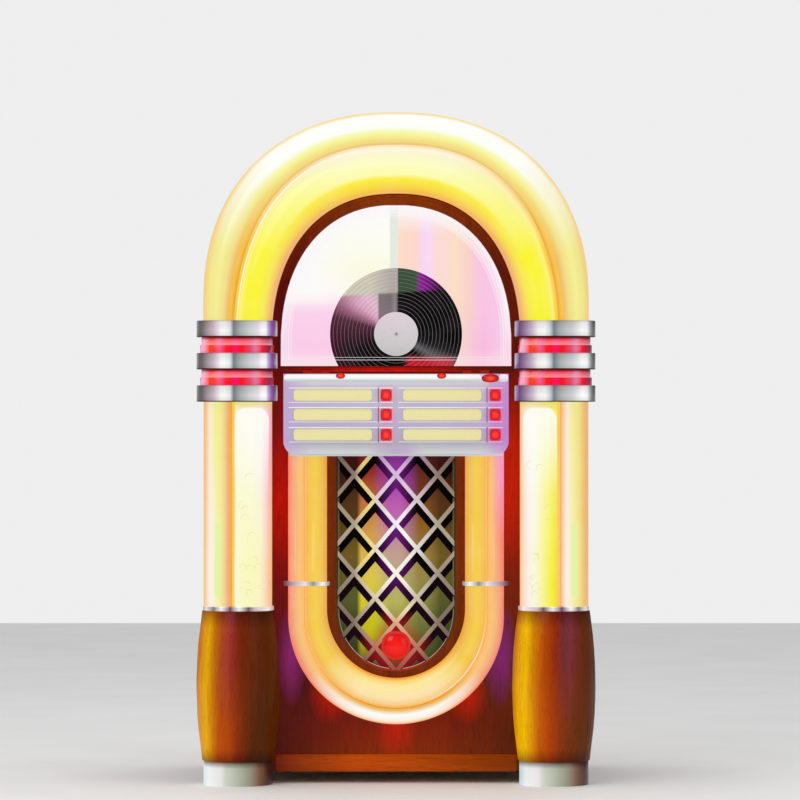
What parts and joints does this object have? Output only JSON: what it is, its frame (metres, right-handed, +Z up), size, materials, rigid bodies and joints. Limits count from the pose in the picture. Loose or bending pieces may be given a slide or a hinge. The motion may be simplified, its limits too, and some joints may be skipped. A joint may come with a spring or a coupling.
{
  "type": "jukebox",
  "caption": "Full-size arched jukebox with a lit arch, bubble tubes, chrome bands, wood barrels, a record display window and a diamond grille.",
  "frame": {"origin": "on the floor, under the middle of the cabinet", "axes": "+Z up, the front faces -Y, +X to the right seen from the front"},
  "size_m": [0.9, 0.64, 1.5165],
  "materials": {
    "cabinet_wood": "satin lacquer",
    "raw_board": "unfinished plywood",
    "front_wood": "dark red gloss lacquer",
    "plinth_wood": "orange-brown gloss lacquer",
    "barrel_wood": "high gloss lacquer over streaked veneer",
    "foot_metal": "polished",
    "foot_rubber": "matt",
    "arch_cover": "lit from inside, amber at the edges",
    "arch_tube": "liquid-filled, lit from inside",
    "chrome_trim": "mirror polish",
    "red_plastic": "polished translucent red",
    "window_wood": "dark brown gloss lacquer",
    "clear_glass": "clear",
    "hinge_steel": "brushed",
    "panel_metal": "satin silver-lilac enamel",
    "card_paper": "smooth cream card, blank",
    "button_red": "glossy translucent red",
    "jewel_red": "faceted translucent red",
    "dome_red": "glossy red",
    "grille_cover": "lit from inside",
    "grille_tube": "liquid-filled, lit from inside",
    "grille_wood": "brown gloss lacquer",
    "grille_metal": "polished, darker at the sides",
    "cloth": "woven speaker cloth",
    "speaker_steel": "plated",
    "cone_paper": "pulp",
    "magnet_iron": "painted",
    "deck_metal": "hammered grey enamel",
    "hub_metal": "turned",
    "vinyl": "grooved",
    "label_paper": "plain, blank",
    "motor_paint": "stoved enamel",
    "brass": "turned",
    "belt_rubber": "matt",
    "valve_glass": "clear, silvered top",
    "knob_plastic": "moulded",
    "lamp_glass": "phosphor coated",
    "backdrop": "white diffuser, lit",
    "door_wood": "stained plywood"
  },
  "bodies": {
    "cabinet": {"cabinet_shell": "cabinet_wood", "floor_board": "raw_board", "front_panel": "front_wood", "plinth_rail": "plinth_wood", "left_barrel": "barrel_wood", "right_barrel": "barrel_wood", "front_feet": "foot_metal", "rear_feet": "foot_rubber", "arch_light_cover": "arch_cover", "arch_bubble_tube": "arch_tube", "pillar_light_covers": "arch_cover", "pillar_bubble_tubes": "arch_tube", "chrome_bands": "chrome_trim", "red_bands": "red_plastic", "tube_rings": "chrome_trim", "window_surround": "window_wood", "window_hinges": "hinge_steel", "title_panel": "panel_metal", "title_cards": "card_paper", "pilot_jewels": "jewel_red", "grille_light_cover": "grille_cover", "grille_bubble_tube": "grille_tube", "grille_frame": "grille_wood", "grille_lattice": "grille_metal", "grille_cloth": "cloth", "speaker_frame": "speaker_steel", "speaker_cone": "cone_paper", "speaker_magnet": "magnet_iron", "speaker_screws": "speaker_steel", "mechanism_deck": "deck_metal", "drive_motor": "motor_paint", "drive_belt": "belt_rubber", "magazine_rails": "speaker_steel", "amplifier_chassis": "deck_metal", "valves": "valve_glass", "transformer": "magnet_iron", "lamp_tubes": "lamp_glass", "display_backdrop": "backdrop", "rear_hinges": "hinge_steel", "power_inlet": "knob_plastic"},
    "window_door": {"window_frame": "window_wood", "window_glass": "clear_glass"},
    "turntable": {"drive_hub": "hub_metal", "record": "vinyl", "record_label": "label_paper"},
    "motor_drive": {"motor_pulley": "brass"},
    "pickup_arm": {"tonearm": "hub_metal"},
    "magazine": {"record_magazine": "deck_metal", "stored_records": "vinyl"},
    "select_1": {"select_button_1": "button_red"},
    "select_2": {"select_button_2": "button_red"},
    "select_3": {"select_button_3": "button_red"},
    "select_4": {"select_button_4": "button_red"},
    "select_5": {"select_button_5": "button_red"},
    "select_6": {"select_button_6": "button_red"},
    "cancel": {"cancel_button": "button_red"},
    "play": {"play_button": "dome_red"},
    "volume": {"volume_knob": "knob_plastic"},
    "service_door": {"rear_door": "door_wood"},
    "service_latch": {"rear_latch": "knob_plastic"}
  },
  "joints": [
    {"name": "select_1_press", "type": "slide", "parent": "cabinet", "child": "select_1", "axis": [0, 1, 0], "range_m": [0, 0.005]},
    {"name": "select_2_press", "type": "slide", "parent": "cabinet", "child": "select_2", "axis": [0, 1, 0], "range_m": [0, 0.005]},
    {"name": "select_3_press", "type": "slide", "parent": "cabinet", "child": "select_3", "axis": [0, 1, 0], "range_m": [0, 0.005]},
    {"name": "select_4_press", "type": "slide", "parent": "cabinet", "child": "select_4", "axis": [0, 1, 0], "range_m": [0, 0.005]},
    {"name": "select_5_press", "type": "slide", "parent": "cabinet", "child": "select_5", "axis": [0, 1, 0], "range_m": [0, 0.005]},
    {"name": "select_6_press", "type": "slide", "parent": "cabinet", "child": "select_6", "axis": [0, 1, 0], "range_m": [0, 0.005]},
    {"name": "cancel_press", "type": "slide", "parent": "cabinet", "child": "cancel", "axis": [0, 1, 0], "range_m": [0, 0.004]},
    {"name": "play_press", "type": "slide", "parent": "cabinet", "child": "play", "axis": [0, 1, 0], "range_m": [0, 0.006]},
    {"name": "window_swing", "type": "hinge", "parent": "cabinet", "child": "window_door", "pos_m": [0, -0.212, 0.93], "axis": [1, 0, 0], "range_deg": [0, 75]},
    {"name": "service_door_swing", "type": "hinge", "parent": "cabinet", "child": "service_door", "pos_m": [-0.405, 0.305, 0.6], "axis": [0, 0, 1], "range_deg": [0, 110]},
    {"name": "latch_turn", "type": "hinge", "parent": "service_door", "child": "service_latch", "pos_m": [0.365, 0.3, 0.7], "axis": [0, 1, 0], "range_deg": [0, 90]},
    {"name": "turntable_spin", "type": "hinge", "parent": "cabinet", "child": "turntable", "pos_m": [0, -0.12, 1.016], "axis": [0, 1, 0], "continuous": true},
    {"name": "motor_spin", "type": "hinge", "parent": "cabinet", "child": "motor_drive", "pos_m": [0, -0.13, 0.82], "axis": [0, 1, 0], "continuous": true},
    {"name": "tonearm_swing", "type": "hinge", "parent": "cabinet", "child": "pickup_arm", "pos_m": [0.115, -0.14, 0.9], "axis": [0, 1, 0], "range_deg": [0, 58]},
    {"name": "magazine_slide", "type": "slide", "parent": "cabinet", "child": "magazine", "axis": [0, -1, 0], "range_m": [0, 0.08]},
    {"name": "volume_turn", "type": "hinge", "parent": "cabinet", "child": "volume", "pos_m": [0.06, 0.12, 0.08], "axis": [0, 1, 0], "range_deg": [-150, 150]}
  ],
  "couplings": [
    {"joint": "motor_spin", "follows": "turntable_spin", "ratio": 2.5}
  ]
}
